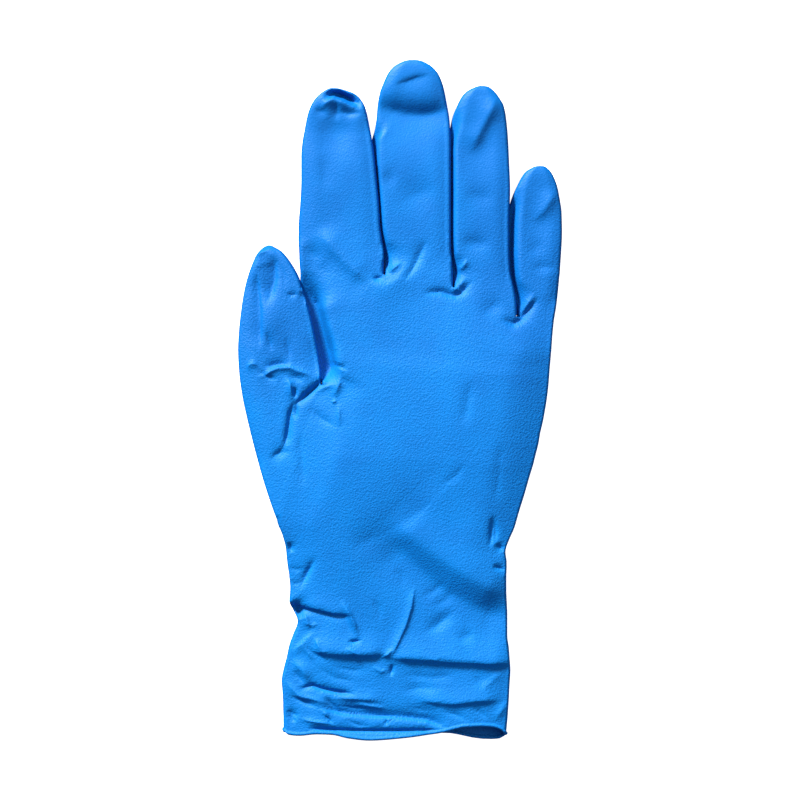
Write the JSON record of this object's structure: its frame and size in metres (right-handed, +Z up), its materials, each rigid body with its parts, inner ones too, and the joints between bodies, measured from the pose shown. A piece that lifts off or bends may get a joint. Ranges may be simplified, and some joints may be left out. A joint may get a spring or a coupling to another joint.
{
  "type": "nitrile exam glove",
  "caption": "Thin disposable hand covering with separate finger and thumb stalls, a smooth palm, a plain cuff and a rolled rim; worn on one hand, shown empty and lying flat.",
  "frame": {"origin": "middle of the bounding box in X and Y, at the surface the glove lies on", "axes": "+Y from the rolled rim to the fingertips, +X across the palm away from the thumb, +Z up from the surface"},
  "size_m": [0.1144, 0.24, 0.0126],
  "materials": {
    "nitrile_film": "satin, lightly textured"
  },
  "bodies": {
    "root": {"glove": "nitrile_film"}
  },
  "joints": []
}
